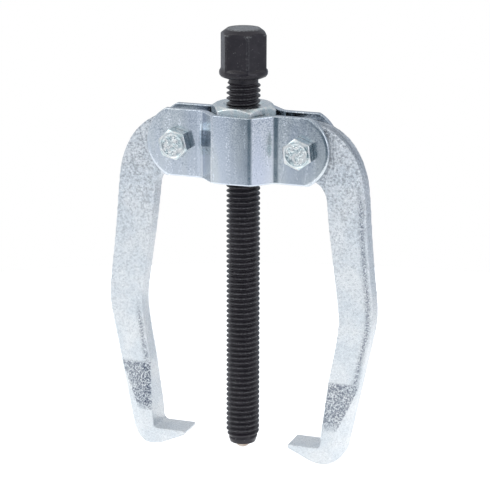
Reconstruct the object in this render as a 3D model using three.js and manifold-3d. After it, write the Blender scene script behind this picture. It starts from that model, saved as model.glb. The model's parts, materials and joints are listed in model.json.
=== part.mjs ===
// Two-arm gear puller: two bent strap plates clamp a long hex nut, a forcing spindle runs through the
// nut, and two forged hook arms hang from pivot bolts between the plate ends.
// Millimetres, +Z up. The origin is on the spindle axis, level with the two pivot bolts.
// The arms spread along X, and the pivot bolts lie along Y with their heads towards -Y.
import * as THREE from 'three';
import { mergeVertices } from 'three/addons/utils/BufferGeometryUtils.js';
import Module from 'manifold-3d';

// ---- driving dimensions -------------------------------------------------------------------------
const PIVOT_X = 18.55; // pivot bolt axis from the spindle axis
const SEAT_GAP = 0.05; // between faces that bear on each other
const TURN_GAP = 0.3; // between round faces that turn in each other

const SPINDLE = {
  rodRadius: 4.85, // M10 thread over its crests
  neckRadius: 4.2, // undercut between thread and collar
  neckLength: 1.4,
  threadEnd: -86.1, // where the lead-in cone starts
  noseEnd: -89.5,
  noseRadius: 3.75,
  collarBottom: 19.3,
  collarTop: 21.8,
  collarRadius: 6.95,
  collarEdgeIn: 0.65, // how far the collar's rounded edges come in
  collarEdgeUp: 0.85, // and how high they are
  headTop: 33.4,
  headAcrossFlats: 12,
  headTopRadius: 4.7,
  headChamferDrop: 1.7,
  headTurn: 0, // degrees that a corner is turned from the +X direction
};

const BALL = { radius: 2.5, centre: -89 };

const NUT = {
  acrossFlats: 17,
  top: 11.8,
  bottom: -9.6,
  chamferRadius: 8.1,
  chamferDrop: 1.15,
};

const PLATE = {
  thickness: 2,
  flatGap: 5.8, // between the two plates where the arms sit
  top: 9.8,
  endX: 27.45,
  endRadius: 11.1,
  endShift: 0.45, // the front plate's ends sit this far towards -X of its holes
  bendX: 5.5, // middle of the bend next to the nut, on the plate's mid-surface
  bendRadius: 1.6, // mid-surface radius of the bends next to the nut
  footRadius: 4, // and of the bends where the walls meet the flat ends
  bendAngle: 48, // degrees
};

const ARM = {
  thickness: 5.4,
  eyeRadius: 8.2,
  gripHeight: -87.4, // gripping face of the hook
  tipReach: -2.65, // the hook's tip, measured outwards from the pivot
  footWidth: 9.6,
  rampTop: -67.5, // the foot starts to widen here
  rampBottom: -82,
  bevelSlope: 0.62, // rise of the bevel along the foot's outer edge
  bevelStart: 18.25, // outer edge of the leg at rampTop
  edgeLean: 0.2, // how fast the foot's outer edge runs inwards as it goes down
  restTurn: { left: 0.4, right: -0.4 }, // degrees, positive swings the hook outwards
};

const BOLT = {
  shankRadius: 2.5, // M5
  headAcrossFlats: 8,
  headHeight: 3.5,
  headTurn: { left: 45, right: 37.5 },
  endLength: 0.8, // thread showing past the lock nut
};

// Chamfer of the bolt heads and lock nuts: share of the width across flats, and drop.
const SMALL_CHAMFER = { share: 0.47, drop: 0.5 };

const LOCK_NUT = { acrossFlats: 8, height: 4.7, turn: { left: 8, right: 22 } };

const PLATE_INNER = PLATE.flatGap / 2;
const PLATE_OUTER = PLATE_INNER + PLATE.thickness;
const BULGE_INNER = NUT.acrossFlats / 2 + SEAT_GAP;
const PIVOT_HOLE = BOLT.shankRadius + TURN_GAP;
const ROUND = 40; // facets round a large cylinder
const SMALL_ROUND = 32;
const CURVE_STEPS = 16; // facets along each curve of the arm's outline
const BEND_STEPS = 8; // facets round each bend of a plate
const PAST = 1; // how far cutting shapes stand past the body they cut

// ---- solid helpers ------------------------------------------------------------------------------
const wasm = await Module();
wasm.setup();

function toSolid(geometry) {
  const bare = geometry.clone();
  bare.deleteAttribute('normal');
  bare.deleteAttribute('uv');
  const merged = mergeVertices(bare, 1e-4);
  return new wasm.Manifold(
    new wasm.Mesh({
      numProp: 3,
      vertProperties: new Float32Array(merged.attributes.position.array),
      triVerts: new Uint32Array(merged.index.array),
    }),
  );
}

function toGeometry(solid) {
  const mesh = solid.getMesh();
  const geometry = new THREE.BufferGeometry();
  geometry.setAttribute('position', new THREE.BufferAttribute(new Float32Array(mesh.vertProperties), 3));
  geometry.setIndex(new THREE.BufferAttribute(new Uint32Array(mesh.triVerts), 1));
  const flat = geometry.toNonIndexed();
  flat.computeVertexNormals();
  return flat;
}

// A prism along Z from one height to another, drawn by an outline in X and Y.
function prism(outline, from, to, curveSegments = 12) {
  const geometry = new THREE.ExtrudeGeometry(outline, { depth: to - from, bevelEnabled: false, curveSegments });
  geometry.translate(0, 0, from);
  return geometry;
}

// Turns a prism so that its outline lies in X and Z and its length runs along Y, centred.
function layAcross(geometry, length) {
  geometry.rotateX(Math.PI / 2);
  geometry.translate(0, length / 2, 0);
  return geometry;
}

// A round hole for an outline, as a closed ring of points that runs the opposite way to the outline.
function roundHole(x, y, radius, turn) {
  const hole = new THREE.Path();
  for (let i = 0; i < SMALL_ROUND; i += 1) {
    const angle = (turn * 2 * Math.PI * i) / SMALL_ROUND;
    if (i === 0) hole.moveTo(x + radius, y);
    else hole.lineTo(x + radius * Math.cos(angle), y + radius * Math.sin(angle));
  }
  return hole;
}

function hexagon(acrossFlats, turnDegrees) {
  const radius = acrossFlats / Math.sqrt(3);
  const outline = new THREE.Shape();
  for (let corner = 0; corner < 6; corner += 1) {
    const angle = THREE.MathUtils.degToRad(turnDegrees + 60 * corner);
    const x = radius * Math.cos(angle);
    const y = radius * Math.sin(angle);
    if (corner === 0) outline.moveTo(x, y);
    else outline.lineTo(x, y);
  }
  outline.closePath();
  return outline;
}

// A body of revolution about Z; the profile is a list of [radius, height] from bottom to top.
function turned(profile, facets = ROUND) {
  const points = profile.map(([radius, height]) => new THREE.Vector2(radius, height));
  const geometry = new THREE.LatheGeometry(points, facets);
  geometry.rotateX(Math.PI / 2);
  return geometry;
}

// A hexagonal prism whose top corners are chamfered by a cone.
function chamferedHex(acrossFlats, turnDegrees, bottom, top, topRadius, drop) {
  const cornerRadius = acrossFlats / Math.sqrt(3);
  const slope = drop / (cornerRadius - topRadius);
  const reach = cornerRadius + PAST;
  const cone = turned(
    [
      [0, bottom - PAST],
      [reach, bottom - PAST],
      [reach, top - slope * (reach - topRadius)],
      [topRadius, top],
      [0, top],
    ],
    ROUND,
  );
  return toSolid(prism(hexagon(acrossFlats, turnDegrees), bottom, top)).intersect(toSolid(cone));
}

// ---- materials ----------------------------------------------------------------------------------
const zincPlate = { color: 0xaab2ba, roughness: 0.35, metalness: 0.9 };
const zincForging = { color: 0xb9c2c8, roughness: 0.5, metalness: 0.8 };
const brightZinc = { color: 0xc2cbd0, roughness: 0.3, metalness: 0.95 };
const blackOxide = { color: 0x26272b, roughness: 0.4, metalness: 0.7 };
const bearingSteel = { color: 0x9a9b98, roughness: 0.25, metalness: 1 };

function named(name, geometry, finish) {
  const mesh = new THREE.Mesh(geometry, new THREE.MeshStandardMaterial(finish));
  mesh.name = name;
  return mesh;
}

// ---- spindle: thread, collar and hexagon in one piece -------------------------------------------
function spindle() {
  const s = SPINDLE;
  const shaft = toSolid(
    turned([
      [0, s.noseEnd],
      [s.noseRadius, s.noseEnd],
      [s.rodRadius, s.threadEnd],
      [s.rodRadius, s.collarBottom - s.neckLength],
      [s.neckRadius, s.collarBottom - s.neckLength],
      [s.neckRadius, s.collarBottom],
      [s.collarRadius - s.collarEdgeIn, s.collarBottom],
      [s.collarRadius, s.collarBottom + s.collarEdgeUp],
      [s.collarRadius, s.collarTop - s.collarEdgeUp],
      [s.collarRadius - s.collarEdgeIn, s.collarTop],
      [0, s.collarTop],
    ]),
  );
  const hex = chamferedHex(
    s.headAcrossFlats,
    s.headTurn,
    s.collarTop - PAST,
    s.headTop,
    s.headTopRadius,
    s.headChamferDrop,
  );
  const socketBall = new THREE.SphereGeometry(BALL.radius + TURN_GAP, 24, 16);
  socketBall.rotateX(Math.PI / 2);
  socketBall.translate(0, 0, BALL.centre);
  return named('spindle', toGeometry(shaft.add(hex).subtract(toSolid(socketBall))), blackOxide);
}

function tipBall() {
  const ball = new THREE.SphereGeometry(BALL.radius, 24, 16);
  ball.rotateX(Math.PI / 2);
  const mesh = named('tip_ball', ball, bearingSteel);
  mesh.position.z = BALL.centre;
  return mesh;
}

// ---- bridge: long hex nut and the two plates ----------------------------------------------------
function bridgeNut() {
  const body = chamferedHex(NUT.acrossFlats, 0, NUT.bottom, NUT.top, NUT.chamferRadius, NUT.chamferDrop);
  const boreRadius = SPINDLE.rodRadius + TURN_GAP;
  const bore = new THREE.CylinderGeometry(boreRadius, boreRadius, 2 * (NUT.top - NUT.bottom), ROUND);
  bore.rotateX(Math.PI / 2);
  return named('bridge_nut', toGeometry(body.subtract(toSolid(bore))), brightZinc);
}

// Half of the plate's mid-line in plan, from the middle of the bulge to past the plate's end.
function plateHalfLine() {
  const flatY = PLATE_INNER + PLATE.thickness / 2;
  const bulgeY = BULGE_INNER + PLATE.thickness / 2;
  const slant = THREE.MathUtils.degToRad(PLATE.bendAngle);
  const tangent = PLATE.bendRadius * Math.tan(slant / 2);
  const footTangent = PLATE.footRadius * Math.tan(slant / 2);
  const footX = PLATE.bendX + (bulgeY - flatY) / Math.tan(slant);
  return { flatY, bulgeY, slant, tangent, footTangent, footX, endX: PLATE.endX + PLATE.endShift + PAST };
}

// The plate's section in plan, offset to both sides of its mid-line, for the whole length.
function plateSection() {
  const line = plateHalfLine();
  const half = PLATE.thickness / 2;
  const centreBulge = { x: PLATE.bendX - line.tangent, y: line.bulgeY - PLATE.bendRadius };
  const centreFoot = { x: line.footX + line.footTangent, y: line.flatY + PLATE.footRadius };
  const edge = (side) => {
    const points = [];
    for (let i = 0; i <= BEND_STEPS; i += 1) {
      const angle = (line.slant * i) / BEND_STEPS;
      const radius = PLATE.bendRadius + side * half;
      points.push([centreBulge.x + radius * Math.sin(angle), centreBulge.y + radius * Math.cos(angle)]);
    }
    for (let i = BEND_STEPS; i >= 0; i -= 1) {
      const angle = (line.slant * i) / BEND_STEPS;
      const radius = PLATE.footRadius - side * half;
      points.push([centreFoot.x - radius * Math.sin(angle), centreFoot.y - radius * Math.cos(angle)]);
    }
    points.push([line.endX, line.flatY + side * half]);
    return points;
  };
  const mirrored = (points) => points.map(([x, y]) => [-x, y]).reverse();
  const outer = [...mirrored(edge(1)), ...edge(1)];
  const inner = [...mirrored(edge(-1)), ...edge(-1)];
  const loop = [...outer, ...inner.reverse()];
  return new THREE.Shape(loop.map(([x, y]) => new THREE.Vector2(x, y)));
}

// The plate's outline as seen from the front, with its rounded ends moved along X by shift.
function plateFace(shift) {
  const arcX = PLATE.endX - PLATE.endRadius;
  const sweep = Math.asin(PLATE.top / PLATE.endRadius);
  const outline = new THREE.Shape();
  outline.absarc(arcX + shift, 0, PLATE.endRadius, -sweep, sweep, false);
  outline.absarc(-arcX + shift, 0, PLATE.endRadius, Math.PI - sweep, Math.PI + sweep, false);
  outline.closePath();
  for (const side of [-1, 1]) outline.holes.push(roundHole(side * PIVOT_X, 0, PIVOT_HOLE, -1));
  return outline;
}

function plate(name, facing) {
  const shift = facing < 0 ? PLATE.endShift : 0;
  const strip = toSolid(prism(plateSection(), -PLATE.top - PAST, PLATE.top + PAST));
  const depth = 60;
  const face = toSolid(layAcross(prism(plateFace(shift), 0, depth, 12), depth));
  const mesh = named(name, toGeometry(strip.intersect(face)), zincPlate);
  if (facing < 0) mesh.rotation.z = Math.PI;
  return mesh;
}

// ---- arms ---------------------------------------------------------------------------------------
// The arm's outline seen from the front, with u measured outwards from the pivot and z upwards.
function armOutline() {
  const eye = ARM.eyeRadius;
  const grip = ARM.gripHeight;
  const tip = ARM.tipReach;
  const heel = { u: 1, z: -14.6, radius: 14.6 - eye };
  const outline = new THREE.Shape();
  outline.absarc(0, 0, eye, -Math.PI / 2, Math.PI / 2, true);
  outline.bezierCurveTo(8.8, eye, 15.2, 3.2, 17.9, -7);
  outline.bezierCurveTo(19.2, -12.4, 19, -22, 21.3, -40);
  outline.bezierCurveTo(22, -46, 22, -49.5, 21.1, -53.6);
  outline.lineTo(14.2, -87.6);
  outline.bezierCurveTo(13.4, -91.9, 8.5, -93.2, 4, -91.5);
  outline.lineTo(tip + 0.2, grip - 1.15);
  outline.lineTo(tip, grip);
  outline.lineTo(5.9, grip);
  outline.quadraticCurveTo(7.2, grip, 7.3, grip + 1.3);
  outline.lineTo(8.9, ARM.rampTop);
  outline.bezierCurveTo(9.9, -61.5, 11.6, -54, 11.6, -48.5);
  outline.bezierCurveTo(11.5, -43.5, 8.1, -25, 7.5, -14.6);
  outline.absarc(heel.u, heel.z, heel.radius, 0, Math.PI / 2, false);
  outline.holes.push(roundHole(0, 0, PIVOT_HOLE, 1));
  return outline;
}

// The arm's thickness seen along X: thin leg, ramp, wide foot.
function armThickness() {
  const leg = ARM.thickness / 2;
  const foot = ARM.footWidth / 2;
  const above = 20;
  const below = -100;
  const side = [
    [leg, above],
    [leg, ARM.rampTop],
    [foot, ARM.rampBottom],
    [foot, below],
  ];
  const other = side.map(([y, z]) => [-y, z]).reverse();
  return new THREE.Shape([...side, ...other].map(([y, z]) => new THREE.Vector2(y, z)));
}

// A wedge that bevels the foot's outer edge, for the +Y or the -Y face.
function footBevel(side) {
  const leg = ARM.thickness / 2;
  const deep = 8;
  const outside = 12;
  const rise = deep * ARM.bevelSlope;
  const wedge = new THREE.Shape();
  wedge.moveTo(deep, side * (leg - rise));
  wedge.lineTo(deep, side * outside);
  wedge.lineTo(-deep, side * outside);
  wedge.lineTo(-deep, side * (leg + rise));
  wedge.closePath();
  const geometry = prism(wedge, -40, 6);
  geometry.rotateY(Math.atan(ARM.edgeLean));
  geometry.translate(ARM.bevelStart, 0, ARM.rampTop);
  return toSolid(geometry);
}

function armSolid() {
  const width = 20;
  const outline = toSolid(layAcross(prism(armOutline(), 0, width, CURVE_STEPS), width));
  const thickness = prism(armThickness(), -30, 60);
  thickness.applyMatrix4(new THREE.Matrix4().makeBasis(
    new THREE.Vector3(0, 1, 0),
    new THREE.Vector3(0, 0, 1),
    new THREE.Vector3(1, 0, 0),
  ));
  return outline.intersect(toSolid(thickness)).subtract(footBevel(1)).subtract(footBevel(-1));
}

// An arm hangs in a group at its pivot; the left one is the same forging turned half round.
function arm(name, side) {
  const mesh = named(name, toGeometry(armSolid()), zincForging);
  const swing = side < 0 ? ARM.restTurn.left : ARM.restTurn.right;
  mesh.rotation.y = -THREE.MathUtils.degToRad(swing);
  const hanger = new THREE.Group();
  if (side < 0) hanger.rotation.z = Math.PI;
  hanger.position.x = side * PIVOT_X;
  hanger.add(mesh);
  return hanger;
}

// ---- pivot bolts and lock nuts ------------------------------------------------------------------
function smallHex(acrossFlats, turn, height) {
  const faceRadius = acrossFlats * SMALL_CHAMFER.share;
  return chamferedHex(acrossFlats, turn, 0, height, faceRadius, SMALL_CHAMFER.drop);
}

function pivotBolt(name, side, turn) {
  const b = BOLT;
  const shankLength = 2 * PLATE_OUTER + SEAT_GAP + LOCK_NUT.height + b.endLength;
  const shank = new THREE.CylinderGeometry(b.shankRadius, b.shankRadius, shankLength + 1, SMALL_ROUND);
  shank.rotateX(Math.PI / 2);
  shank.translate(0, 0, -(shankLength + 1) / 2 + 1);
  const head = smallHex(b.headAcrossFlats, turn, b.headHeight);
  const mesh = named(name, toGeometry(head.add(toSolid(shank))), brightZinc);
  mesh.rotation.x = Math.PI / 2;
  mesh.position.set(side * PIVOT_X, -PLATE_OUTER - SEAT_GAP, 0);
  return mesh;
}

function lockNut(name, side, turn) {
  const n = LOCK_NUT;
  const body = smallHex(n.acrossFlats, turn, n.height);
  const boreRadius = BOLT.shankRadius + SEAT_GAP * 2;
  const bore = new THREE.CylinderGeometry(boreRadius, boreRadius, 3 * n.height, SMALL_ROUND);
  bore.rotateX(Math.PI / 2);
  const mesh = named(name, toGeometry(body.subtract(toSolid(bore))), brightZinc);
  mesh.rotation.x = -Math.PI / 2;
  mesh.position.set(side * PIVOT_X, PLATE_OUTER + SEAT_GAP, 0);
  return mesh;
}

// ---- assembly -----------------------------------------------------------------------------------
const puller = new THREE.Group();
puller.add(spindle(), tipBall(), bridgeNut(), plate('front_plate', -1), plate('back_plate', 1));
for (const [word, side] of [['left', -1], ['right', 1]]) {
  puller.add(arm(`${word}_arm`, side));
  puller.add(pivotBolt(`${word}_pivot_bolt`, side, BOLT.headTurn[word]));
  puller.add(lockNut(`${word}_lock_nut`, side, LOCK_NUT.turn[word]));
}

export default puller;
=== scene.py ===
"""Looks of a two-arm gear puller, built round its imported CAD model. Shapes are in mm, objects in metres."""
import json
import math

import bmesh
import bpy
import numpy as np
from mathutils import Euler, Matrix, Vector, noise

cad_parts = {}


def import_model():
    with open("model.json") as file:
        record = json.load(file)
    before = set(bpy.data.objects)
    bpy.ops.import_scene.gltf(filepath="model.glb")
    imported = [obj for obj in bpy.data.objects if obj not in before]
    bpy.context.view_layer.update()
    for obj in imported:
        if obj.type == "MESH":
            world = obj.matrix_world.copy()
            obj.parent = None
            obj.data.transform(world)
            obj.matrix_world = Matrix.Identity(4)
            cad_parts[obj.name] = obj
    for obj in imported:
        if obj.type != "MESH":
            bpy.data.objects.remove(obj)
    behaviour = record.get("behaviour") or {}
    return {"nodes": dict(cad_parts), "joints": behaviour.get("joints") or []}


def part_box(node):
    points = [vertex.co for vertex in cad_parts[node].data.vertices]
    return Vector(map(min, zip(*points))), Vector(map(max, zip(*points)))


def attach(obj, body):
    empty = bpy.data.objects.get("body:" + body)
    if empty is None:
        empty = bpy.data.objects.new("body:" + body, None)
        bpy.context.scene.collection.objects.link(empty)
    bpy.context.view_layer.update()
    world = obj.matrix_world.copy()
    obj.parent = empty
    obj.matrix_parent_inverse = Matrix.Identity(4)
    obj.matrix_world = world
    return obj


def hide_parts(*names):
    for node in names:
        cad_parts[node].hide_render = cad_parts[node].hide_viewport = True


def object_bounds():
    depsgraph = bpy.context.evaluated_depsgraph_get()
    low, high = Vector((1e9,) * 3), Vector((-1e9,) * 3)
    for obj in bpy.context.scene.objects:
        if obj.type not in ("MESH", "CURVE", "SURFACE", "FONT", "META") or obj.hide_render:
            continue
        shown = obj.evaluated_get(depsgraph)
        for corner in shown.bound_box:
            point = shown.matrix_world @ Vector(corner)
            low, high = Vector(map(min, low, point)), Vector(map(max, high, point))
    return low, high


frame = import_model()
cad_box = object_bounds()

MM = 0.001
FINE = 96  # columns round a turned piece
TAU = 2 * math.pi


def box_mm(node):
    """Lowest and highest corner of a CAD node, in mm."""
    low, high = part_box(node)
    return np.array(low) / MM, np.array(high) / MM


# ---- node trees -----------------------------------------------------------------------------------
class Recipe:
    """A short way to write a node tree: every call adds one node and gives back its first output."""

    def __init__(self, tree):
        self.tree = tree
        tree.nodes.clear()

    def add(self, kind, inputs=(), output=0, **settings):
        made = self.tree.nodes.new(kind)
        for name, value in settings.items():
            setattr(made, name, value)
        for socket, value in dict(inputs).items():
            self.give(made.inputs[socket], value)
        return made.outputs[output] if made.outputs else None

    def give(self, socket, value):
        if isinstance(value, bpy.types.NodeSocket):
            self.tree.links.new(value, socket)
        else:
            socket.default_value = value

    def math(self, operation, a, b=0.0, clamp=False):
        return self.add("ShaderNodeMath", {0: a, 1: b}, operation=operation, use_clamp=clamp)

    def place(self, scale=(1, 1, 1)):
        """Coordinates in the model's own frame, in mm times a scale along each axis."""
        local = self.add("ShaderNodeTexCoord", output=3)
        factors = [k / MM for k in scale]
        return self.add("ShaderNodeVectorMath", {0: local, 1: factors}, operation="MULTIPLY")

    def noise(self, where, scale, detail=3.0, roughness=0.5, distortion=0.0):
        inputs = {
            "Vector": where,
            "Scale": scale,
            "Detail": detail,
            "Roughness": roughness,
            "Distortion": distortion,
        }
        return self.add("ShaderNodeTexNoise", inputs)

    def span(self, value, low, high, to_low=0.0, to_high=1.0):
        """Maps low..high to to_low..to_high, smoothly and clamped."""
        inputs = {0: value, 1: low, 2: high, 3: to_low, 4: to_high}
        return self.add("ShaderNodeMapRange", inputs, interpolation_type="SMOOTHSTEP")

    def blend(self, share, a, b):
        """Colour a where share is 0, colour b where it is 1."""
        made = self.tree.nodes.new("ShaderNodeMix")
        made.data_type = "RGBA"
        for socket, value in ((made.inputs[0], share), (made.inputs[6], a), (made.inputs[7], b)):
            self.give(socket, value)
        return made.outputs[2]

    def bump(self, height, strength, distance, normal=None):
        inputs = {"Strength": strength, "Distance": distance * MM, "Height": height}
        if normal is not None:
            inputs["Normal"] = normal
        return self.add("ShaderNodeBump", inputs)

    def painted(self, name):
        """A share stored on the mesh's points."""
        return self.add("ShaderNodeAttribute", output=2, attribute_name=name)


def grey(value, blue=0.0):
    """A grey, cooler by a share of blue."""
    return (value * (1 - blue), value, min(1.0, value * (1 + blue)), 1)


def finish_material(name, recipe_for):
    """A material whose Principled inputs come from recipe_for(recipe)."""
    made = bpy.data.materials.new(name)
    made.use_nodes = True
    recipe = Recipe(made.node_tree)
    shader = recipe.add("ShaderNodeBsdfPrincipled", recipe_for(recipe))
    recipe.add("ShaderNodeOutputMaterial", {"Surface": shader})
    return made


def plate_recipe(r):
    where = r.place()
    drift = r.noise(r.place((1, 1, 0.35)), 0.11, 2)
    cloud = r.noise(where, 0.2, 3)
    grain = r.noise(where, 2.6, 3, 0.65)
    streaks = r.noise(r.place((0.15, 0.15, 2.2)), 1.3, 2)
    colour = r.blend(r.span(drift, 0.38, 0.62), (0.60, 0.65, 0.72, 1), (0.66, 0.70, 0.72, 1))
    dark_specks = r.math("MULTIPLY", r.span(grain, 0.56, 0.68), r.span(cloud, 0.45, 0.62))
    colour = r.blend(r.math("MULTIPLY", dark_specks, 0.75), colour, (0.16, 0.20, 0.27, 1))
    pale_specks = r.span(r.noise(where, 3.4, 1), 0.68, 0.74)
    colour = r.blend(r.math("MULTIPLY", pale_specks, 0.6), colour, (0.86, 0.90, 0.94, 1))
    # painted shade mixed with speckled tarnish: darker navy mottling where the share is high, towards the top
    # edge and +X
    mottle = r.math("MULTIPLY", r.painted("tarnish_and_shade"), r.span(grain, 0.34, 0.64, 0.35, 1.4), clamp=True)
    colour = r.blend(r.math("MULTIPLY", mottle, 0.8), colour, (0.13, 0.18, 0.25, 1))
    scuff_line = r.span(r.noise(r.place((0.55, 0.55, 0.04)), 1.0, 2), 0.54, 0.64)
    scuffs = r.math("MULTIPLY", scuff_line, r.span(r.noise(where, 1.9, 2, 0.6), 0.52, 0.62))
    colour = r.blend(r.math("MULTIPLY", scuffs, 0.8), colour, (0.84, 0.88, 0.93, 1))
    rough = r.math("ADD", r.span(cloud, 0.3, 0.7, 0.11, 0.2), r.span(grain, 0.4, 0.7, 0, 0.07))
    normal = r.bump(streaks, 0.12, 0.05)
    normal = r.bump(grain, 0.22, 0.05, normal)
    return {"Base Color": colour, "Metallic": 1.0, "Roughness": rough, "Normal": normal}


def forging_recipe(r):
    where = r.place()
    pebble = r.noise(where, 1.7, 4, 0.65)
    fine = r.noise(where, 4.2, 2, 0.6)
    cloud = r.noise(where, 0.12, 3)
    grit_and_shade, trim, rough_skin_and_shade = (r.painted(name) for name in ("grit_and_shade", "trim", "rough_skin_and_shade"))
    colour = r.blend(r.span(cloud, 0.35, 0.65), (0.68, 0.72, 0.75, 1), (0.76, 0.78, 0.79, 1))
    # painted shade: darker, bluer zinc where the share rises towards the shoulder
    colour = r.blend(r.math("MULTIPLY", rough_skin_and_shade, 0.6), colour, (0.30, 0.36, 0.46, 1))
    # painted shade in the pebble's hollows and painted highlight on its crests, stronger towards the shoulder
    hollow_shade_share = r.math("ADD", r.math("MULTIPLY", rough_skin_and_shade, 1.3), 0.2, clamp=True)
    hollow_shade = r.math("MULTIPLY", r.span(pebble, 0.53, 0.37), hollow_shade_share)
    colour = r.blend(hollow_shade, colour, (0.26, 0.28, 0.31, 1))
    crest_highlight_share = r.math("ADD", r.math("MULTIPLY", rough_skin_and_shade, 1.4), 0.25, clamp=True)
    crests = r.math("MULTIPLY", r.span(pebble, 0.55, 0.68), crest_highlight_share)
    colour = r.blend(r.math("MULTIPLY", crests, 0.7), colour, (0.93, 0.94, 0.94, 1))
    # dark forging skin on the ramp, mixed with painted shade there, along one edge of the face and at the
    # left ramp's inner edge
    marks = r.span(r.noise(where, 2.3, 3, 0.7, 0.6), 0.44, 0.53)
    colour = r.blend(r.math("MULTIPLY", marks, grit_and_shade), colour, (0.10, 0.12, 0.17, 1))
    lines = r.span(r.noise(r.place((0.08, 1.6, 0.08)), 1.0, 3, 0.7), 0.46, 0.56)
    colour = r.blend(r.math("MULTIPLY", lines, trim), colour, (0.13, 0.16, 0.2, 1))
    rough = r.span(fine, 0.3, 0.7, 0.24, 0.42)
    relief = r.math("MULTIPLY", pebble, r.math("ADD", rough_skin_and_shade, 0.5))
    normal = r.bump(relief, 1.0, 0.5)
    normal = r.bump(fine, 0.55, 0.08, normal)
    return {"Base Color": colour, "Metallic": 0.9, "Roughness": rough, "Normal": normal}


def fastener_recipe(r):
    where = r.place()
    cloud = r.noise(where, 0.7, 3)
    grain = r.noise(where, 4.0, 3, 0.6)
    colour = r.blend(r.span(cloud, 0.35, 0.65), (0.50, 0.58, 0.60, 1), (0.66, 0.67, 0.67, 1))
    specks = r.span(r.noise(where, 2.8, 2, 0.6), 0.6, 0.7)
    colour = r.blend(r.math("MULTIPLY", specks, 0.5), colour, (0.34, 0.38, 0.44, 1))
    rough = r.span(cloud, 0.3, 0.7, 0.18, 0.32)
    normal = r.bump(grain, 0.25, 0.05)
    return {"Base Color": colour, "Metallic": 1.0, "Roughness": rough, "Normal": normal}


def oxide_recipe(r):
    where = r.place()
    cloud = r.noise(where, 0.35, 3)
    grain = r.noise(where, 2.4, 3, 0.65)
    wear_and_glint = r.painted("wear_and_glint")
    colour = r.blend(r.span(cloud, 0.35, 0.7), (0.009, 0.007, 0.011, 1), (0.015, 0.012, 0.017, 1))
    # lighter where worn, and where a glint is painted on the head's corners and chamfer edge
    scuffs = r.math("MULTIPLY", wear_and_glint, r.span(grain, 0.4, 0.68, 0.1, 1.0))
    colour = r.blend(scuffs, colour, grey(0.2, 0.02))
    dust = r.span(r.noise(where, 3.1, 1), 0.72, 0.76)
    colour = r.blend(r.math("MULTIPLY", dust, 0.35), colour, grey(0.35))
    rough = r.span(cloud, 0.3, 0.7, 0.3, 0.42)
    normal = r.bump(grain, 0.25, 0.06)
    return {
        "Base Color": colour,
        "Metallic": 0.0,
        "Roughness": rough,
        "Specular IOR Level": 0.36,
        "Normal": normal,
    }


def ball_recipe(r):
    where = r.place()
    cloud = r.noise(where, 0.9, 3)
    scratches = r.noise(r.place((3, 3, 0.4)), 2.0, 2)
    colour = r.blend(r.span(cloud, 0.35, 0.65), (0.36, 0.29, 0.24, 1), (0.50, 0.43, 0.37, 1))
    rough = r.span(cloud, 0.3, 0.7, 0.2, 0.34)
    normal = r.bump(scratches, 0.15, 0.03)
    return {"Base Color": colour, "Metallic": 0.85, "Roughness": rough, "Normal": normal}


PLATE_ZINC = finish_material("satin_zinc_strip", plate_recipe)
ARM_ZINC = finish_material("zinc_on_forging", forging_recipe)
BRIGHT_ZINC = finish_material("bright_zinc", fastener_recipe)
BLACK_OXIDE = finish_material("black_oxide", oxide_recipe)
BALL_STEEL = finish_material("ground_steel", ball_recipe)


# ---- mesh helpers ---------------------------------------------------------------------------------
def add_piece(name, mesh, body, node, material, sharp=40):
    """Links a finished mesh as a piece that stands for one CAD node and moves with its body."""
    mesh.materials.clear()
    mesh.materials.append(material)
    mesh.shade_smooth()
    mesh.set_sharp_from_angle(angle=math.radians(sharp))
    made = bpy.data.objects.new(name, mesh)
    bpy.context.scene.collection.objects.link(made)
    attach(made, body)
    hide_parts(node)
    return made


def mesh_of(bm, name, turn=Matrix.Identity(4), at=(0, 0, 0)):
    """Ends a bmesh drawn in mm: merges what coincides, turns it, moves it into place, makes it metres."""
    bmesh.ops.remove_doubles(bm, verts=bm.verts, dist=1e-4)
    bmesh.ops.dissolve_degenerate(bm, edges=bm.edges, dist=1e-5)
    bmesh.ops.recalc_face_normals(bm, faces=bm.faces)
    bm.transform(Matrix.Scale(MM, 4) @ Matrix.Translation(Vector(at)) @ turn)
    mesh = bpy.data.meshes.new(name)
    bm.to_mesh(mesh)
    bm.free()
    return mesh


def sweep(bm, radii, heights, shift=0):
    """A surface round Z from grids of radii and heights. The last column joins the first, shift rows up."""
    rows, columns = radii.shape
    angles = TAU * np.arange(columns) / columns
    points = np.stack([radii * np.cos(angles), radii * np.sin(angles), heights], axis=-1)
    made = [[bm.verts.new(p) for p in row] for row in points]
    for row in range(rows - 1 - shift):
        for column in range(columns):
            last = column == columns - 1
            beside = made[row + (shift if last else 0)][0 if last else column + 1]
            above = made[row + 1 + (shift if last else 0)][0 if last else column + 1]
            bm.faces.new((made[row][column], beside, above, made[row + 1][column]))


def ring_rows(profile, columns=FINE):
    """Grids of radii and heights for a plain turned profile of (radius, height) points."""
    points = np.array(profile, float)
    wide = np.ones((1, columns))
    return points[:, :1] * wide, points[:, 1:] * wide


def rounded(profile, radius, steps=4):
    """A profile with each inner corner rounded by an arc-like curve that starts radius before the corner."""
    points = [np.array(p, float) for p in profile]
    made = [points[0]]
    for before, corner, after in zip(points, points[1:], points[2:]):
        back, ahead = before - corner, after - corner
        reach = min(radius, 0.45 * np.linalg.norm(back), 0.45 * np.linalg.norm(ahead))
        start = corner + back / np.linalg.norm(back) * reach
        end = corner + ahead / np.linalg.norm(ahead) * reach
        for t in np.linspace(0, 1, steps + 1):
            made.append((1 - t) ** 2 * start + 2 * t * (1 - t) * corner + t**2 * end)
    return [tuple(p) for p in made + [points[-1]]]


def soft_min(a, b, width):
    """The smaller of two values, rounded off where they come within width of each other."""
    share = np.clip(width - np.abs(a - b), 0, None) / width
    return np.minimum(a, b) - share**2 * width / 4


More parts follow.
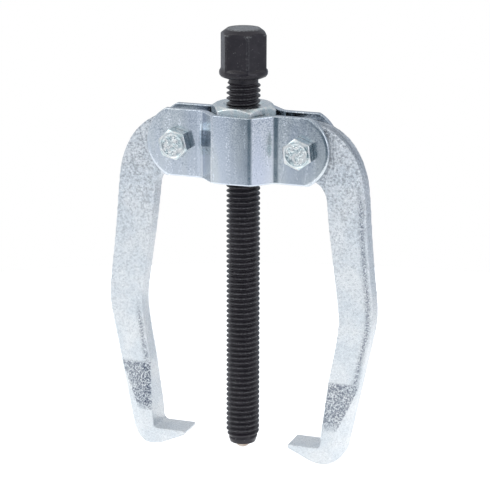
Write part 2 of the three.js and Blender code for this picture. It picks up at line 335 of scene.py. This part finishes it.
def hex_reach(columns, across_flats, edge, turn=0.0):
    """How far a hexagon with rounded corners reaches at each column, with a corner at turn degrees."""
    angles = TAU * np.arange(columns) / columns - math.radians(turn)
    sector = math.pi / 3
    off = np.abs((angles + sector / 2) % sector - sector / 2)
    half = across_flats / 2
    corner = (half - edge) / math.cos(sector / 2)
    limit = math.atan2(edge * math.sin(sector / 2), corner + edge * math.cos(sector / 2))
    arc = corner * np.cos(off) + np.sqrt(np.clip(edge**2 - (corner * np.sin(off)) ** 2, 0, None))
    return np.where(off <= limit, arc, half / np.cos(sector / 2 - off))


def steps(start, stop, size):
    """Evenly spaced values from start to stop, no further apart than size."""
    count = max(2, int(math.ceil(abs(stop - start) / size)) + 1)
    return np.linspace(start, stop, count)


# ---- thread ---------------------------------------------------------------------------------------
# One turn of a 60 degree thread: share of the pitch, and share of the depth below the crest.
THREAD_FORM = [
    (0.0, 0.0), (0.055, 0.0), (0.085, 0.06), (0.36, 0.88), (0.42, 0.97),
    (0.5, 1.0), (0.58, 0.97), (0.64, 0.88), (0.915, 0.06), (0.945, 0.0), (1.0, 0.0),
]


def thread(bm, crest, root, pitch, start, stop, limit, columns=64):
    """A right-hand helical thread from start to stop; limit(height) gives the lowest and highest radius.

    Gives back the radii of its first row."""
    form = THREAD_FORM[:-1]
    turns = int(math.ceil((stop - start) / pitch)) + 2
    base = np.array([start + (k - 1 + share) * pitch for k in range(turns) for share, _ in form])
    climb = pitch * np.arange(columns) / columns
    heights = np.clip(base[:, None] + climb[None, :], start, stop)
    share = ((heights - start) / pitch - np.arange(columns) / columns) % 1.0
    depth = np.interp(share, [s for s, _ in THREAD_FORM], [d for _, d in THREAD_FORM])
    low, high = limit(heights)
    radii = np.clip(crest - (crest - root) * depth, low, high)
    sweep(bm, radii, heights, len(form))
    return radii[0]


# ---- spindle --------------------------------------------------------------------------------------
SPINDLE = {
    "pitch": 1.5,
    "crest": 4.85,  # radii of the thread, the plain neck and the lower end
    "root": 3.98,
    "neck": 4.2,
    "nose": 3.75,
    "lead_in": 3.4,  # height of the cone at the lower end
    "run_out": 1.9,  # from the end of the full thread up to the collar
    "collar_bottom": 14.1,  # below the top of the head
    "collar_top": 11.6,
    "neck_end": 0.6,  # the thread's surface stops this far below the collar
    "across_flats": 12,
    "corner": 0.3,
    "cone": (4.7, 1.32),  # chamfer of the head: radius at the top face, slope
    "columns": 192,
}
# Section of the collar: height above its underside, and depth in from its widest radius.
COLLAR_BEAD = [(0.15, 1.2), (0.5, 0.42), (1.0, 0.08), (1.6, 0.0), (2.2, 0.12), (2.6, 0.5), (3.0, 1.2)]
# The head's top face, a little lower at its rim: share of the rim's radius, and depth below the top.
TOP_FACE = [(1.0, 0.05), (0.97, 0.02), (0.9, 0.0), (0.7, 0.0), (0.45, 0.0), (0.2, 0.0), (0.0, 0.0)]


def spindle_mesh():
    """Thread, nose with the ball's seat, neck, collar and hexagonal head."""
    low, high = box_mm("spindle")
    sizes = SPINDLE
    crest, neck = sizes["crest"], sizes["neck"]
    end, top, collar = low[2], high[2], high[0]
    collar_low, collar_high = top - sizes["collar_bottom"], top - sizes["collar_top"]
    run_out = collar_low - sizes["run_out"]
    thread_end = collar_low - sizes["neck_end"]
    bm = bmesh.new()

    def limit(z):
        marks = [end, end + sizes["lead_in"], run_out, run_out + 0.7]
        upper = np.interp(z, marks, [sizes["nose"], crest, crest, neck])
        lower = np.interp(z, [run_out - 1.2, run_out + 0.5], [0.0, neck])
        return np.minimum(lower, upper), upper

    thread(bm, crest, sizes["root"], sizes["pitch"], end, thread_end, limit)
    # nose face with the seat of the ball
    ball_low, ball_high = box_mm("tip_ball")
    seat = (ball_high[0] - ball_low[0]) / 2 + 0.15
    centre = (ball_high[2] + ball_low[2]) / 2
    lip = math.sqrt(seat**2 - (end - centre) ** 2)
    opening = math.asin((end - centre) / seat)
    cup = [(seat * math.cos(a), centre + seat * math.sin(a)) for a in np.linspace(opening, math.pi / 2, 14)]
    sweep(bm, *ring_rows([(sizes["nose"], end), (lip + 0.15, end + 0.02), *cup[1:]], 64))
    # neck, then the underside of the collar
    bead_z = [collar_low + up for up, _ in COLLAR_BEAD]
    bead_r = [collar - depth for _, depth in COLLAR_BEAD]
    under = rounded([(neck, thread_end), (neck, collar_low), (bead_r[0], bead_z[0])], 0.3)
    sweep(bm, *ring_rows(under, 64))

    # collar and hexagon on a finer ring, with close rows at the bead and at the chamfer
    heights = np.concatenate([
        steps(bead_z[0], collar_high + 0.6, 0.12),
        steps(collar_high + 0.6, top - 2.6, 0.8)[1:],
        steps(top - 2.6, top, 0.1)[1:],
    ])
    flats = hex_reach(sizes["columns"], sizes["across_flats"], sizes["corner"])[None, :]
    z = heights[:, None]
    everywhere = np.ones_like(flats)
    bead = np.where(z > bead_z[-1], 0, np.interp(z, bead_z, bead_r))
    body = np.where(z < collar_high - 0.9, bead, -soft_min(-bead, -flats, 0.5) * everywhere)
    cone = sizes["cone"][0] + (top - z) * sizes["cone"][1]
    crown = np.where(z < top - 3, body, soft_min(body, cone * everywhere, 0.28))
    sweep(bm, crown, z * everywhere)
    shares, depths = (np.array(column)[:, None] for column in zip(*TOP_FACE))
    sweep(bm, shares * crown[-1][None, :], (top - depths) * everywhere)
    return mesh_of(bm, "spindle_with_thread")


def paint(mesh, name, values):
    """Stores a share on each point, for a material to read."""
    layer = mesh.attributes.new(name, "FLOAT", "POINT")
    layer.data.foreach_set("value", np.asarray(values, np.float32))


def points_mm(mesh):
    flat = np.empty(len(mesh.vertices) * 3)
    mesh.vertices.foreach_get("co", flat)
    return flat.reshape(-1, 3) / MM


def normals_of(mesh):
    flat = np.empty(len(mesh.vertices) * 3)
    mesh.vertices.foreach_get("normal", flat)
    return flat.reshape(-1, 3)


def spindle():
    mesh = spindle_mesh()
    p = points_mm(mesh)
    radius = np.hypot(p[:, 0], p[:, 1])
    low, high = box_mm("spindle")
    threaded = high[2] - p[:, 2] > 15.5
    # wear on the thread crests, the top face and the hex corners; painted glint on the hex corners and along
    # the chamfer's edge
    crests = np.clip((radius - 4.68) / 0.17, 0, 1) * threaded
    below_top = high[2] - p[:, 2]
    top_face = below_top < 0.2
    corner_wear_and_glint = np.clip((radius - 6.62) / 0.08, 0, 1) * (below_top < 11) * 0.15
    chamfer_glint = np.exp(-(((below_top - 1.6) / 0.25) ** 2)) * np.clip((radius - 6.3) / 0.3, 0, 1)
    paint(mesh, "wear_and_glint", np.maximum.reduce([crests * 0.4, top_face, corner_wear_and_glint, chamfer_glint]))
    add_piece("spindle_with_thread", mesh, "spindle", "spindle", BLACK_OXIDE, 50)


def tip_ball():
    low, high = box_mm("tip_ball")
    centre, radius = (low + high) / 2, (high[2] - low[2]) / 2
    worn_flat = 0.12
    angles = np.linspace(-math.pi / 2, math.pi / 2, 40)
    profile = [(radius * math.cos(a), max(radius * math.sin(a), -radius + worn_flat)) for a in angles]
    bm = bmesh.new()
    sweep(bm, *ring_rows([(0, -radius + worn_flat), *profile[1:]], 64))
    mesh = mesh_of(bm, "tip_ball_ground", at=centre)
    add_piece("tip_ball_ground", mesh, "tip", "tip_ball", BALL_STEEL)


# ---- hexagonal fasteners --------------------------------------------------------------------------
def hex_side(bm, across_flats, corner, turn, low, high, low_cone, high_cone, columns):
    """Side of a hexagon with cone chamfers, each (radius at the face, slope) or None. Gives both rims."""
    near = 1.6  # rows lie close together this near to a face
    z = np.concatenate([
        steps(low, low + near, 0.1),
        steps(low + near, high - near, 1.0)[1:-1],
        steps(high - near, high, 0.1),
    ])
    z = np.unique(np.round(z, 4))[:, None]
    radii = hex_reach(columns, across_flats, corner, turn)[None, :] * np.ones_like(z)
    if low_cone:
        radii = soft_min(radii, (low_cone[0] + (z - low) * low_cone[1]) * np.ones_like(radii), 0.22)
    if high_cone:
        radii = soft_min(radii, (high_cone[0] + (high - z) * high_cone[1]) * np.ones_like(radii), 0.22)
    sweep(bm, radii, z * np.ones((1, columns)))
    return radii[0], radii[-1]


def face_rings(bm, rim, height, inner, relief=None, size=0.3):
    """A flat end face from a rim in to an inner radius; relief(x, y) raises it."""
    columns = len(rim)
    angles = TAU * np.arange(columns) / columns
    shares = 1 - steps(0, 1, size / rim.max())
    radii = inner + shares[:, None] * (rim[None, :] - inner)
    heights = np.full_like(radii, height)
    if relief is not None:
        lift = np.vectorize(relief)(radii * np.cos(angles), radii * np.sin(angles))
        lift[0] = 0
        heights = heights + lift
    sweep(bm, radii, heights)


BRIDGE_NUT = {
    "across_flats": 17,
    "corner": 0.35,
    "bore": 5.0,
    "sink": 0.75,  # chamfer of the bore
    "low_cone": (8.1, 1.5),
    "high_cone": (8.05, 1.5),
    "columns": 192,
}


def bridge_nut():
    low, high = box_mm("bridge_nut")
    nut = BRIDGE_NUT
    bore, mouth = nut["bore"], nut["bore"] + nut["sink"]
    bm = bmesh.new()
    shape, cones = (nut["across_flats"], nut["corner"], 0), (nut["low_cone"], nut["high_cone"])
    bottom, top = hex_side(bm, *shape, low[2], high[2], *cones, nut["columns"])
    face_rings(bm, top, high[2], mouth)
    face_rings(bm, bottom, low[2], mouth)
    lower = [(mouth, low[2]), (bore, low[2] + nut["sink"])]
    upper = [(bore, high[2] - nut["sink"]), (mouth, high[2])]
    sweep(bm, *ring_rows(rounded(lower + upper, 0.15), nut["columns"]))
    mesh = mesh_of(bm, "bridge_nut_chamfered")
    add_piece("bridge_nut_chamfered", mesh, "bridge", "bridge_nut", BRIGHT_ZINC)


def head_marks(seed):
    """Worn raised specks inside the chamfer ring of a bolt head."""
    offset = Vector((seed * 7.3, seed * 3.1, seed))

    def relief(x, y):
        reach = math.hypot(x, y)
        spot = noise.noise(Vector((x * 1.1, y * 1.1, 0)) + offset)
        rough = noise.noise(Vector((x * 3.4, y * 3.4, 5)) + offset)
        inside = min(1.0, max(0.0, (3.1 - reach) / 0.3))
        rim = 0.1 * math.exp(-(((reach - 3.2) / 0.25) ** 2))
        return inside * (0.16 * min(1.0, max(0.0, (spot - 0.02) * 7)) + 0.06 * rough - 0.1) + rim - 0.1

    return relief


# Bolt heads and lock nuts share one hexagon. The heads are turned as in the photo, the nuts' turn is guessed.
SMALL_HEX = {"across_flats": 8, "corner": 0.2, "columns": 144}
HEAD = {"height": 3.5, "cone": (3.72, 2.1), "turn": {"left": 45, "right": 37.5}}
SHANK = {"radius": 2.5, "root": 2.05, "pitch": 0.8, "thread": 6.5, "columns": 48}
LOCK_NUT = {
    "cone": (3.75, 2.0),
    "crown": 1.1,  # height and radii of the round crown on the hexagon
    "crown_radius": 3.35,
    "crown_lip": 2.7,
    "bore": 2.56,
    "turn": {"left": 8, "right": 22},
}


def small_hex(bm, turn, low, high, low_cone, high_cone):
    sizes = SMALL_HEX
    shape = (sizes["across_flats"], sizes["corner"], turn)
    return hex_side(bm, *shape, low, high, low_cone, high_cone, sizes["columns"])


def pivot_bolt(side, seed):
    low, high = box_mm(f"{side}_pivot_bolt")
    shank, height = SHANK, HEAD["height"]
    radius, columns = shank["radius"], shank["columns"]
    end = height - (high[1] - low[1])
    bm = bmesh.new()
    bottom, top = small_hex(bm, HEAD["turn"][side], 0, height, None, HEAD["cone"])
    face_rings(bm, top, height, 0, head_marks(seed), 0.12)
    face_rings(bm, bottom, 0, radius)
    thread_end = end + shank["thread"]

    def limit(z):
        upper = np.interp(z, [end, end + 0.5, -1], [2.0, radius, radius])
        lower = np.interp(z, [thread_end - 1, thread_end], [0.0, radius])
        return np.minimum(lower, upper), upper

    first = thread(bm, radius, shank["root"], shank["pitch"], end, thread_end, limit, columns)
    sweep(bm, *ring_rows([(radius, thread_end), (radius, 0)], columns))
    face_rings(bm, first, end, 0)
    centre = (low + high) / 2
    turn = Matrix.Rotation(math.pi / 2, 4, "X")
    mesh = mesh_of(bm, f"{side}_pivot_bolt_marked", turn, (centre[0], low[1] + height, centre[2]))
    add_piece(mesh.name, mesh, "bridge", f"{side}_pivot_bolt", BRIGHT_ZINC)


def lock_nut(side):
    low, high = box_mm(f"{side}_lock_nut")
    nut = LOCK_NUT
    height = high[1] - low[1]
    crown_z = height - nut["crown"]
    bm = bmesh.new()
    bottom, top = small_hex(bm, nut["turn"][side], 0, crown_z, nut["cone"], nut["cone"])
    face_rings(bm, bottom, 0, nut["bore"])
    face_rings(bm, top, crown_z, nut["crown_radius"])
    outside = [(nut["crown_radius"], crown_z), (nut["crown_radius"], height)]
    inside = [(nut["crown_lip"], height), (nut["bore"], height - 0.3), (nut["bore"], 0)]
    sweep(bm, *ring_rows(rounded(outside + inside, 0.35), SMALL_HEX["columns"]))
    centre = (low + high) / 2
    turn = Matrix.Rotation(-math.pi / 2, 4, "X")
    mesh = mesh_of(bm, f"{side}_lock_nut_crowned", turn, (centre[0], low[1], centre[2]))
    add_piece(mesh.name, mesh, "bridge", f"{side}_lock_nut", BRIGHT_ZINC)


# ---- plates ---------------------------------------------------------------------------------------
PLATE = {
    "thickness": 2.0,
    "flat_y": 3.9,  # mid-surface at the ends
    "end_radius": 11.1,
    "bend_x": 5.5,
    "bend_angle": 48,
    "bend_radius": 1.6,
    "foot_radius": 4,
    "hole": 2.8,
    "crown": 0.22,  # how far the bulge's front falls away towards its bends
    "flat_fall": 0.14,  # how far the flats' outer faces fall away towards the ends
    # width and depth by which the borders roll over: inner face, then the outer face's long edges and ends
    "inner_roll": (0.25, 0.2),
    "long_roll": (0.4, 0.28),
    "end_roll": (0.95, 0.5),
}


def plate_line(bulge_y):
    """Right half of the mid-line up to where the flat begins: points, each with its outward normal's tilt."""
    slant = math.radians(PLATE["bend_angle"])
    radius, foot_radius = PLATE["bend_radius"], PLATE["foot_radius"]
    bulge_end = PLATE["bend_x"] - radius * math.tan(slant / 2)
    foot_x = PLATE["bend_x"] + (bulge_y - PLATE["flat_y"]) / math.tan(slant)
    foot_x += foot_radius * math.tan(slant / 2)
    line = [(x, bulge_y, 0.0) for x in steps(0, bulge_end, 0.7)[:-1]]
    bends = 12
    for k in range(bends + 1):
        a = slant * k / bends
        line.append((bulge_end + radius * math.sin(a), bulge_y - radius * (1 - math.cos(a)), a))
    foot = (foot_x, PLATE["flat_y"] + foot_radius)
    for k in range(bends, -1, -1):
        a = slant * k / bends
        line.append((foot[0] - foot_radius * math.sin(a), foot[1] - foot_radius * math.cos(a), a))
    return line


def fall(x, flat_x):
    """How far the outer face lies below the nominal surface: a crowned bulge and slightly bowed flats."""
    bulge = PLATE["crown"] * min(1.0, (x / PLATE["bend_x"]) ** 2)
    bulge *= min(1.0, max(0.0, (flat_x - abs(x)) / (flat_x - PLATE["bend_x"])))
    return bulge + PLATE["flat_fall"] * max(0.0, (abs(x) - flat_x) / 15) ** 2


def edge_drop(distance, width, depth):
    """How far a surface rolls back near its border."""
    share = min(1.0, max(0.0, 1 - distance / width))
    return depth * (1 - math.sqrt(1 - share**2))


def plate(name, facing, seed):
    """A bent plate drawn facing +Y; the front one, facing -1, is turned half round."""
    low, high = box_mm(f"{name}_plate")
    half = PLATE["thickness"] / 2
    top = high[2]
    radius = PLATE["end_radius"]
    bulge_y = max(abs(low[1]), abs(high[1])) - half
    line = plate_line(bulge_y)
    flat_x = line[-1][0]
    arc_x = (high[0] - low[0]) / 2 - radius
    shift = (high[0] + low[0]) / 2 * facing
    offset = Vector((seed * 5.7, seed * 2.9, 0))
    near = np.array([0.95, 0.75, 0.55, 0.38, 0.24, 0.13, 0.05, 0.0])  # close rows where the border rolls over

    def half_row(z, side):
        end_x = arc_x + side * shift + math.sqrt(radius**2 - z**2)
        flat = np.concatenate([np.linspace(flat_x, end_x - 1.15, 20)[1:], end_x - near])
        return line + [(x, PLATE["flat_y"], 0.0) for x in flat]

    def column_points(z):
        left = [(-x, y, -a) for x, y, a in half_row(z, -1)]
        return left[:0:-1] + half_row(z, 1)

    def roll(x, z, front):
        """Sheared ends roll over more than the long edges, and the outside more than the inside."""
        long_edge = top - abs(z)
        past = abs(x - shift) - arc_x
        end = radius - math.hypot(max(past, 0.0), z) if past > 0 else radius
        long_roll, end_roll = ("long_roll", "end_roll") if front else ("inner_roll", "inner_roll")
        return max(edge_drop(long_edge, *PLATE[long_roll]), edge_drop(end, *PLATE[end_roll]))

    inward = top - near
    heights = np.concatenate([-inward[::-1], steps(-inward[0], inward[0], 0.8)[1:-1], inward])
    bm = bmesh.new()
    layers = []
    for sign in (1, -1):
        layer = []
        for z in heights:
            row = []
            for x, y, a in column_points(z):
                wave = 0.035 * noise.noise(Vector((x * 0.16, z * 0.1, 0)) + offset) - 0.035
                reach = sign * (half - roll(x, z, sign > 0)) + wave
                reach -= fall(x, flat_x) if sign > 0 else 0
                row.append(bm.verts.new((x + reach * math.sin(a), y + reach * math.cos(a), z)))
            layer.append(row)
        layers.append(layer)
    outer, inner = layers
    rows, columns = len(outer), len(outer[0])
    for r in range(rows - 1):
        for c in range(columns - 1):
            bm.faces.new((outer[r][c], outer[r][c + 1], outer[r + 1][c + 1], outer[r + 1][c]))
            bm.faces.new((inner[r][c], inner[r + 1][c], inner[r + 1][c + 1], inner[r][c + 1]))
    border = [(0, c) for c in range(columns)] + [(r, columns - 1) for r in range(1, rows)]
    border += [(rows - 1, c) for c in range(columns - 2, -1, -1)] + [(r, 0) for r in range(rows - 2, 0, -1)]
    for (r0, c0), (r1, c1) in zip(border, border[1:] + border[:1]):
        bm.faces.new((outer[r0][c0], inner[r0][c0], inner[r1][c1], outer[r1][c1]))
    turn = Matrix.Rotation(math.pi, 4, "Z") if facing < 0 else Matrix.Identity(4)
    mesh = mesh_of(bm, f"{name}_plate_bent", turn)
    drill(mesh, [tuple(joint_point(side)) for side in ("left", "right")], PLATE["hole"])
    p = points_mm(mesh)
    # speckled tarnish with painted shade, darker towards the top edge and towards +X
    rise = np.interp(p[:, 2], [-9.8, 0, 9.8], [0.08, 0.3, 0.6])
    across = np.interp(p[:, 0], [-12, 0, 12, 27], [0.75, 0.85, 1.0, 1.15])
    paint(mesh, "tarnish_and_shade", np.clip(rise * across, 0, 1))
    add_piece(mesh.name, mesh, "bridge", f"{name}_plate", PLATE_ZINC, 35)


def joint_point(side):
    """The pivot of an arm, in metres."""
    return next(j["pos_m"] for j in frame["joints"] if j["name"] == f"{side}_arm_swing")


def drill(mesh, centres, radius):
    """Cuts round holes along Y through a mesh."""
    bm = bmesh.new()
    for centre in centres:
        turn = Matrix.Translation(Vector(centre)) @ Matrix.Rotation(math.pi / 2, 4, "X")
        size = {"radius1": radius * MM, "radius2": radius * MM, "depth": 40 * MM}
        bmesh.ops.create_cone(bm, cap_ends=True, segments=40, matrix=turn, **size)
    cutter_mesh = bpy.data.meshes.new("drill")
    bm.to_mesh(cutter_mesh)
    bm.free()
    cutter = bpy.data.objects.new("drill", cutter_mesh)
    work = bpy.data.objects.new("work", mesh)
    for made in (cutter, work):
        bpy.context.scene.collection.objects.link(made)
    cut = work.modifiers.new("holes", "BOOLEAN")
    cut.operation = "DIFFERENCE"
    cut.solver = "EXACT"
    cut.object = cutter
    apply_to(mesh, work)
    bpy.data.objects.remove(cutter)
    bpy.data.objects.remove(work)


def apply_to(mesh, work):
    """Writes an object's modified shape back to its mesh."""
    graph = bpy.context.evaluated_depsgraph_get()
    shaped = bpy.data.meshes.new_from_object(work.evaluated_get(graph))
    bm = bmesh.new()
    bm.from_mesh(shaped)
    bm.to_mesh(mesh)
    bm.free()
    work.modifiers.clear()
    bpy.data.meshes.remove(shaped)


# ---- arms -----------------------------------------------------------------------------------------
ARM = {
    "voxel": 0.3,
    "edge": 0.75,  # rounding of the edges, and of those at the hook and the hub
    "hook_edge": 0.4,
    "grip": -87.4,  # height of the hook's upper face
    "ramp_top": -67.5,
    "ramp_bottom": -82,
    "leg": 2.7,  # half thickness above the ramp and below it
    "foot": 4.8,
}


def arm_blank(side):
    """The CAD arm's shape with rounded edges, as a fine even mesh."""
    bm = bmesh.new()
    bm.from_mesh(frame["nodes"][f"{side}_arm"].data)
    bmesh.ops.remove_doubles(bm, verts=bm.verts, dist=1e-6)
    bmesh.ops.dissolve_limit(bm, angle_limit=math.radians(0.5), verts=bm.verts, edges=bm.edges)
    weights = bm.edges.layers.float.new("bevel_weight_edge")
    for edge in bm.edges:
        if len(edge.link_faces) == 2 and edge.calc_face_angle() > math.radians(25):
            height = (edge.verts[0].co.z + edge.verts[1].co.z) / 2 / MM
            hooked = height < ARM["grip"] + 2.5 or math.hypot(*hub_offset(side, edge)) < 3.2
            edge[weights] = ARM["hook_edge"] / ARM["edge"] if hooked else 1.0
    mesh = bpy.data.meshes.new(f"{side}_arm_forged")
    bm.to_mesh(mesh)
    bm.free()
    work = bpy.data.objects.new("blank", mesh)
    bpy.context.scene.collection.objects.link(work)
    bevel = work.modifiers.new("edges", "BEVEL")
    bevel.limit_method = "WEIGHT"
    bevel.width = ARM["edge"] * MM
    bevel.segments = 3
    remesh = work.modifiers.new("even", "REMESH")
    remesh.mode = "VOXEL"
    remesh.voxel_size = ARM["voxel"] * MM
    smooth = work.modifiers.new("relax", "SMOOTH")
    smooth.factor = 0.5
    smooth.iterations = 3
    apply_to(mesh, work)
    bpy.data.objects.remove(work)
    return mesh


def hub_offset(side, edge):
    """Where the middle of an edge lies from the arm's pivot, across and up, in mm."""
    pivot = joint_point(side)
    middle = (edge.verts[0].co + edge.verts[1].co) / 2
    return (middle.x - pivot[0]) / MM, (middle.z - pivot[2]) / MM


def edge_distances(u, z, front):
    """How far each point is from the inner and from the outer edge of the arm's front face at its height."""
    levels = np.arange(math.floor(z.min()), math.ceil(z.max()) + 1)
    known, near, far = [], [], []
    for level in levels:
        here = front & (np.abs(z - level) < 0.6)
        if here.any():
            known.append(level)
            near.append(u[here].min())
            far.append(u[here].max())
    return u - np.interp(z, known, near), np.interp(z, known, far) - u


def forged_arm(side, seed):
    """The arm with a forged surface; the two arms differ by seed and by where the rough ramp and the painted
    shade lie.
    """
    mesh = arm_blank(side)
    way = -1 if side == "left" else 1
    pivot = joint_point(side)
    p, n = points_mm(mesh), normals_of(mesh)
    u, y, z = way * (p[:, 0] - pivot[0] / MM), p[:, 1], p[:, 2]
    front = np.abs(n[:, 1]) > 0.85
    inner, outer = edge_distances(u, z, front)

    offset = Vector((seed * 11.3, seed * 4.7, seed * 2.1))
    rough = np.empty(len(p))
    for k, point in enumerate(p):
        at = Vector(point)
        pebble = noise.noise(at * 0.95 + offset)
        wave = noise.noise(at * 0.17 + offset)
        pit = noise.noise(at * 0.42 - offset)
        worn_in = 1.0 if point[2] > -40 else 0.4
        rough[k] = 0.06 * pebble + 0.07 * wave - 0.5 * worn_in * max(0.0, pit - 0.36)
    grip = (np.abs(z - ARM["grip"]) < 0.7) & (n[:, 2] > 0.7)
    share = np.where(front, 1.0, 0.35) * np.where(grip, 0.3, 1.0)
    p = p + n * ((rough - 0.07) * share)[:, None]
    low, high = box_mm(f"{side}_arm")
    p = np.clip(p, low, high)
    mesh.vertices.foreach_set("co", (p * MM).ravel())
    mesh.update()

    # the ramp keeps its rough forging skin, darkened by painted shade as it slopes; painted shade also lies
    # as a dark line along one edge of the face and, on the left arm, as a band at the ramp's inner edge
    slope = (ARM["foot"] - ARM["leg"]) / (ARM["ramp_top"] - ARM["ramp_bottom"])
    ramp_y = ARM["leg"] + slope * (ARM["ramp_top"] - z)
    on_ramp = (np.abs(np.abs(y) - ramp_y) < 0.17) & front
    on_ramp &= (z < ARM["ramp_top"]) & (z > ARM["ramp_bottom"])
    fade = np.clip((ARM["ramp_top"] - z) / 0.6, 0, 1) * np.clip((z - ARM["ramp_bottom"]) / 2.5, 0, 1)
    patch = on_ramp * fade
    if side == "left":
        line = np.exp(-(((inner - 1.1) / 0.8) ** 2)) * np.clip((-48 - z) / 6, 0, 1)
        strip = on_ramp * (inner < 2.6)
    else:
        line = np.exp(-(((outer - 1.3) / 0.8) ** 2)) * np.clip((-8 - z) / 6, 0, 1)
        strip = on_ramp * 0.0
    line = line * (z > ARM["ramp_top"]) * front * 0.8
    paint(mesh, "grit_and_shade", np.clip(np.maximum(patch * 0.8, line) + 0.35 * strip, 0, 1))
    # trimming marks run over the shoulder's edge and die away as the outline turns downward
    shoulder = np.clip((n[:, 2] - 0.12) / 0.5, 0, 1) * np.clip((z + 14) / 10, 0, 1)
    paint(mesh, "trim", shoulder * (np.abs(n[:, 1]) < 0.5) * (u > 3) * 0.6)
    # the forging relief is rougher at the shoulder than down the leg, and painted shade makes it darker there
    paint(mesh, "rough_skin_and_shade", np.interp(z, [-62, -30, -6], [0.0, 0.14, 0.45]))
    add_piece(mesh.name, mesh, f"{side}_arm", f"{side}_arm", ARM_ZINC, 80)


# ---- the object -----------------------------------------------------------------------------------
spindle()
tip_ball()
bridge_nut()
plate("front", -1, 1)
plate("back", 1, 2)
for index, word in enumerate(("left", "right")):
    pivot_bolt(word, index + 1)
    lock_nut(word)
    forged_arm(word, index + 1)


# ---- studio ---------------------------------------------------------------------------------------
def floor():
    """A plain pale disc well below the hooks."""
    drop, radii = 70, (0, 200, 450)
    bm = bmesh.new()
    sweep(bm, *ring_rows([(radius, 0) for radius in radii], FINE))
    mesh = mesh_of(bm, "floor", at=(0, 0, cad_box[0][2] / MM - drop))
    made = bpy.data.objects.new("floor", mesh)
    bpy.context.scene.collection.objects.link(made)

    def recipe(r):
        tone = r.span(r.noise(r.place(), 0.02, 2), 0.3, 0.7)
        return {
            "Base Color": r.blend(tone, (0.93, 0.93, 0.93, 1), (0.96, 0.96, 0.96, 1)),
            "Roughness": 0.9,
            "Emission Color": (1, 1, 1, 1),
            "Emission Strength": 0.35,
        }

    mesh.materials.append(finish_material("pale_floor", recipe))


# Colours of the surround low down and overhead.
SKY = ((0.60, 0.64, 0.70, 1), (0.98, 1.0, 1.02, 1))
# Fields laid over it in turn: direction, degrees within which it is full and beyond which it is gone, colour.
FIELDS = [
    # in front: light to the left of the middle, a dark flag on the right, light above
    ((-0.62, -0.75, -0.2), 10, 34, (0.92, 0.96, 1.02)),
    ((0.2, -0.94, -0.22), 10, 36, (0.15, 0.21, 0.26)),
    ((-0.1, -0.9, 0.5), 10, 28, (1.1, 1.16, 1.2)),
    # at the sides: tall softboxes
    ((-1, 0.1, 0.1), 10, 42, (1.06, 1.08, 1.12)),
    ((0.95, -0.42, 0.0), 14, 38, (0.98, 1.0, 1.1)),
    # from below: an even pale field
    ((0, 0.3, -1), 20, 66, (0.80, 0.83, 0.86)),
    # behind: a dim field that draws the silhouettes
    ((-0.05, 0.96, -0.26), 12, 36, (0.32, 0.38, 0.48)),
]


def world():
    """Soft surround: white to the eye, with broad bright and dim fields for the metal to reflect."""
    made = bpy.data.worlds.new("studio")
    bpy.context.scene.world = made
    made.use_nodes = True
    r = Recipe(made.node_tree)
    way = r.add("ShaderNodeTexCoord", output=0)

    def towards(direction, inner, outer):
        """1 within inner degrees of a direction, falling to 0 at outer degrees."""
        unit = Vector(direction).normalized()
        dot = r.add("ShaderNodeVectorMath", {0: way, 1: unit}, output=1, operation="DOT_PRODUCT")
        return r.span(dot, math.cos(math.radians(outer)), math.cos(math.radians(inner)))

    colour = r.blend(towards((0, 0, 1), 10, 80), *SKY)
    for direction, inner, outer, tone in FIELDS:
        colour = r.blend(towards(direction, inner, outer), colour, (*tone, 1))
    seen = r.add("ShaderNodeBackground", {"Color": (1, 1, 1, 1), "Strength": 1.0})
    surround = r.add("ShaderNodeBackground", {"Color": colour, "Strength": 1.0})
    camera_ray = r.add("ShaderNodeLightPath", output=0)
    both = r.tree.nodes.new("ShaderNodeMixShader")
    for socket, value in zip(both.inputs, (camera_ray, surround, seen)):
        r.give(socket, value)
    r.add("ShaderNodeOutputWorld", {"Surface": both.outputs[0]})


LIGHT_AIM = (0, 0, -30)


def area_light(name, place, size, power, colour):
    """A square soft light aimed at the middle of the object; place and size in mm."""
    lamp = bpy.data.lights.new(name, "AREA")
    lamp.energy = power
    lamp.size = size * MM
    lamp.color = colour
    made = bpy.data.objects.new(name, lamp)
    bpy.context.scene.collection.objects.link(made)
    made.location = Vector(place) * MM
    aim = Vector(LIGHT_AIM) * MM - made.location
    made.rotation_euler = aim.to_track_quat("-Z", "Y").to_euler()


# The photo's view, solved from the picture: degrees, mm.
CAMERA = {
    "azimuth": 19.58,
    "elevation": 15.23,
    "roll": 0.12,
    "distance": 643.38,
    "target": (0, 0, -29.85),
    "lens": 163.86,
    "shift_x": 0.0037,
}


def camera():
    lens = bpy.data.cameras.new("camera")
    lens.lens = CAMERA["lens"]
    lens.shift_x = CAMERA["shift_x"]
    lens.clip_start = 0.01
    made = bpy.data.objects.new("camera", lens)
    bpy.context.scene.collection.objects.link(made)
    a, e = math.radians(CAMERA["azimuth"]), math.radians(CAMERA["elevation"])
    back = Vector((math.sin(a) * math.cos(e), -math.cos(a) * math.cos(e), math.sin(e)))
    made.location = (Vector(CAMERA["target"]) + back * CAMERA["distance"]) * MM
    aim = (-back).to_track_quat("-Z", "Y")
    made.rotation_euler = (aim @ Euler((0, 0, math.radians(CAMERA["roll"]))).to_quaternion()).to_euler()
    bpy.context.scene.camera = made


floor()
world()
area_light("key", (-500, -350, 600), 450, 1.6, (1.0, 0.99, 0.97))
area_light("fill", (650, -250, 250), 400, 0.7, (0.92, 0.96, 1.0))
camera()
bpy.context.scene.view_settings.view_transform = "Standard"
